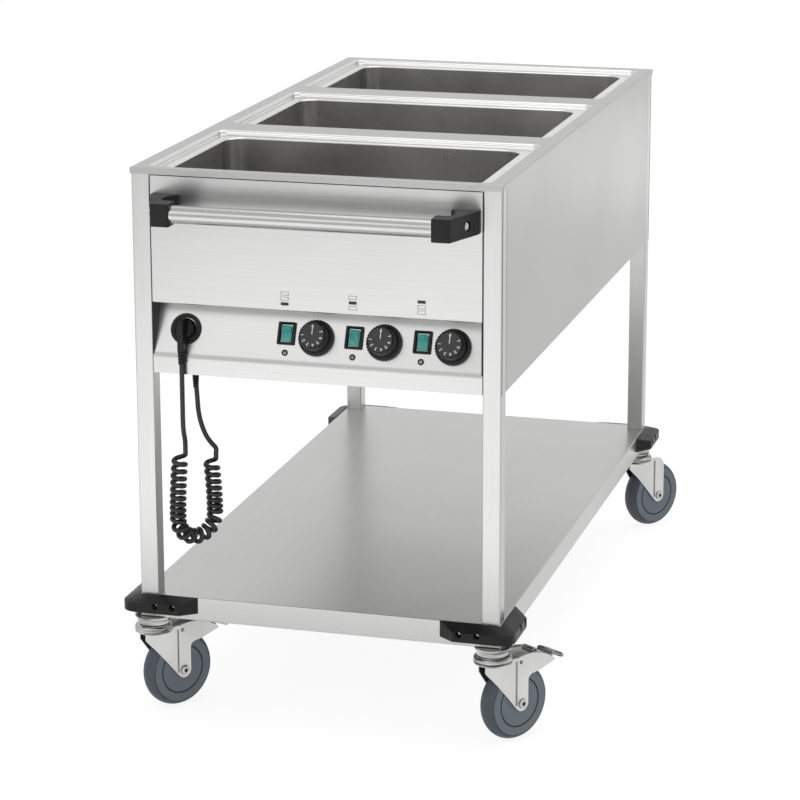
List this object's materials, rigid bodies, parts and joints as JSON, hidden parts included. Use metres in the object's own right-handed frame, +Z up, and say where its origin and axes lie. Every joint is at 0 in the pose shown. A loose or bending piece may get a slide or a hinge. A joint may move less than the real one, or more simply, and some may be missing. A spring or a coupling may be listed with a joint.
{
  "type": "hostess trolley",
  "caption": "Heated serving cart with open basins in its top, a sloping control console, a push handle, a lower shelf, a curly mains cord and swivel casters with brakes.",
  "frame": {"origin": "on the floor, under the middle of the part's box as it stands with its casters and pedals trailing as in the picture, which is 25 mm to the right of the body's middle plane", "axes": "+X to the right across the operator's end, +Y back along the cart away from the push handle, +Z up"},
  "size_m": [0.6945, 1.3367, 0.898],
  "materials": {
    "stainless": "satin brushed stainless steel",
    "basin_steel": "deep-drawn stainless steel, dark inside",
    "heater_aluminium": "plain aluminium",
    "black_plastic": "moulded black plastic",
    "bumper_plastic": "moulded dark grey plastic",
    "knob_plastic": "moulded black plastic with a white scale",
    "rocker_green": "translucent green plastic",
    "lamp": "bright ring with a clear lens",
    "thermostat_plastic": "moulded plastic",
    "cord_rubber": "black rubber",
    "screw_steel": "zinc-plated steel",
    "handle_steel": "polished stainless steel tube",
    "chrome": "bright zinc plate",
    "zinc_plate": "bright zinc plate",
    "tyre": "blue-grey rubber"
  },
  "bodies": {
    "cart": {"post_front_left": "stainless", "post_front_right": "stainless", "post_rear_left": "stainless", "post_rear_right": "stainless", "top_plate": "stainless", "well_front": "basin_steel", "well_middle": "basin_steel", "well_rear": "basin_steel", "heating_plates": "heater_aluminium", "front_panel": "stainless", "rear_panel": "stainless", "left_panel": "stainless", "right_panel": "stainless", "body_floor": "stainless", "control_panel": "stainless", "console_cheeks": "black_plastic", "switch_housings": "black_plastic", "pilot_lamps": "lamp", "thermostats": "thermostat_plastic", "park_socket": "black_plastic", "plug": "cord_rubber", "cord_gland": "black_plastic", "cord_plug_lead": "cord_rubber", "cord_curls": "cord_rubber", "cord_entry_lead": "cord_rubber", "shelf": "stainless", "shelf_stiffeners": "stainless", "bumper_front_left": "bumper_plastic", "bumper_front_right": "bumper_plastic", "bumper_rear_left": "bumper_plastic", "bumper_rear_right": "bumper_plastic", "bumper_screws": "screw_steel", "handle_tube": "handle_steel", "handle_bracket_left": "black_plastic", "handle_bracket_right": "black_plastic", "handle_screws": "screw_steel", "caster_head_front_left": "chrome", "caster_head_front_right": "chrome", "caster_head_rear_left": "chrome", "caster_head_rear_right": "chrome"},
    "knob_1": {"knob_1": "knob_plastic"},
    "rocker_1": {"rocker_1": "rocker_green"},
    "knob_2": {"knob_2": "knob_plastic"},
    "rocker_2": {"rocker_2": "rocker_green"},
    "knob_3": {"knob_3": "knob_plastic"},
    "rocker_3": {"rocker_3": "rocker_green"},
    "swivel_front_left": {"caster_fork_front_left": "zinc_plate", "caster_axle_front_left": "zinc_plate"},
    "wheel_front_left": {"caster_wheel_front_left": "tyre"},
    "pedal_front_left": {"brake_pedal_front_left": "zinc_plate"},
    "swivel_front_right": {"caster_fork_front_right": "zinc_plate", "caster_axle_front_right": "zinc_plate"},
    "wheel_front_right": {"caster_wheel_front_right": "tyre"},
    "pedal_front_right": {"brake_pedal_front_right": "zinc_plate"},
    "swivel_rear_left": {"caster_fork_rear_left": "zinc_plate", "caster_axle_rear_left": "zinc_plate"},
    "wheel_rear_left": {"caster_wheel_rear_left": "tyre"},
    "swivel_rear_right": {"caster_fork_rear_right": "zinc_plate", "caster_axle_rear_right": "zinc_plate"},
    "wheel_rear_right": {"caster_wheel_rear_right": "tyre"}
  },
  "joints": [
    {"name": "knob_1_turn", "type": "hinge", "parent": "cart", "child": "knob_1", "pos_m": [-0.02733, -0.56809, 0.63916], "axis": [0, -0.9174, 0.3979], "range_deg": [-270, 0]},
    {"name": "rocker_1_tilt", "type": "hinge", "parent": "cart", "child": "rocker_1", "pos_m": [-0.07613, -0.56718, 0.64378], "axis": [1, 0, 0], "range_deg": [-16, 0]},
    {"name": "knob_2_turn", "type": "hinge", "parent": "cart", "child": "knob_2", "pos_m": [0.08227, -0.56809, 0.63916], "axis": [0, -0.9174, 0.3979], "range_deg": [-270, 0]},
    {"name": "rocker_2_tilt", "type": "hinge", "parent": "cart", "child": "rocker_2", "pos_m": [0.03347, -0.56718, 0.64378], "axis": [1, 0, 0], "range_deg": [-16, 0]},
    {"name": "knob_3_turn", "type": "hinge", "parent": "cart", "child": "knob_3", "pos_m": [0.19187, -0.56809, 0.63916], "axis": [0, -0.9174, 0.3979], "range_deg": [-270, 0]},
    {"name": "rocker_3_tilt", "type": "hinge", "parent": "cart", "child": "rocker_3", "pos_m": [0.14307, -0.56718, 0.64378], "axis": [1, 0, 0], "range_deg": [-16, 0]},
    {"name": "swivel_front_left_turn", "type": "hinge", "parent": "cart", "child": "swivel_front_left", "pos_m": [-0.30638, -0.5699, 0.15], "axis": [0, 0, 1], "continuous": true},
    {"name": "wheel_front_left_roll", "type": "hinge", "parent": "swivel_front_left", "child": "wheel_front_left", "pos_m": [-0.28195, -0.53367, 0.0625], "axis": [-0.829, 0.5592, 0], "continuous": true},
    {"name": "pedal_front_left_press", "type": "hinge", "parent": "swivel_front_left", "child": "pedal_front_left", "pos_m": [-0.28122, -0.53259, 0.1315], "axis": [-0.829, 0.5592, 0], "range_deg": [0, 8]},
    {"name": "swivel_front_right_turn", "type": "hinge", "parent": "cart", "child": "swivel_front_right", "pos_m": [0.25712, -0.5699, 0.15], "axis": [0, 0, 1], "continuous": true},
    {"name": "wheel_front_right_roll", "type": "hinge", "parent": "swivel_front_right", "child": "wheel_front_right", "pos_m": [0.28155, -0.53367, 0.0625], "axis": [-0.829, 0.5592, 0], "continuous": true},
    {"name": "pedal_front_right_press", "type": "hinge", "parent": "swivel_front_right", "child": "pedal_front_right", "pos_m": [0.28228, -0.53259, 0.1315], "axis": [-0.829, 0.5592, 0], "range_deg": [0, 8]},
    {"name": "swivel_rear_left_turn", "type": "hinge", "parent": "cart", "child": "swivel_rear_left", "pos_m": [-0.30638, 0.5786, 0.15], "axis": [0, 0, 1], "continuous": true},
    {"name": "wheel_rear_left_roll", "type": "hinge", "parent": "swivel_rear_left", "child": "wheel_rear_left", "pos_m": [-0.28195, 0.61483, 0.0625], "axis": [-0.829, 0.5592, 0], "continuous": true},
    {"name": "swivel_rear_right_turn", "type": "hinge", "parent": "cart", "child": "swivel_rear_right", "pos_m": [0.25712, 0.5786, 0.15], "axis": [0, 0, 1], "continuous": true},
    {"name": "wheel_rear_right_roll", "type": "hinge", "parent": "swivel_rear_right", "child": "wheel_rear_right", "pos_m": [0.28155, 0.61483, 0.0625], "axis": [-0.829, 0.5592, 0], "continuous": true}
  ]
}
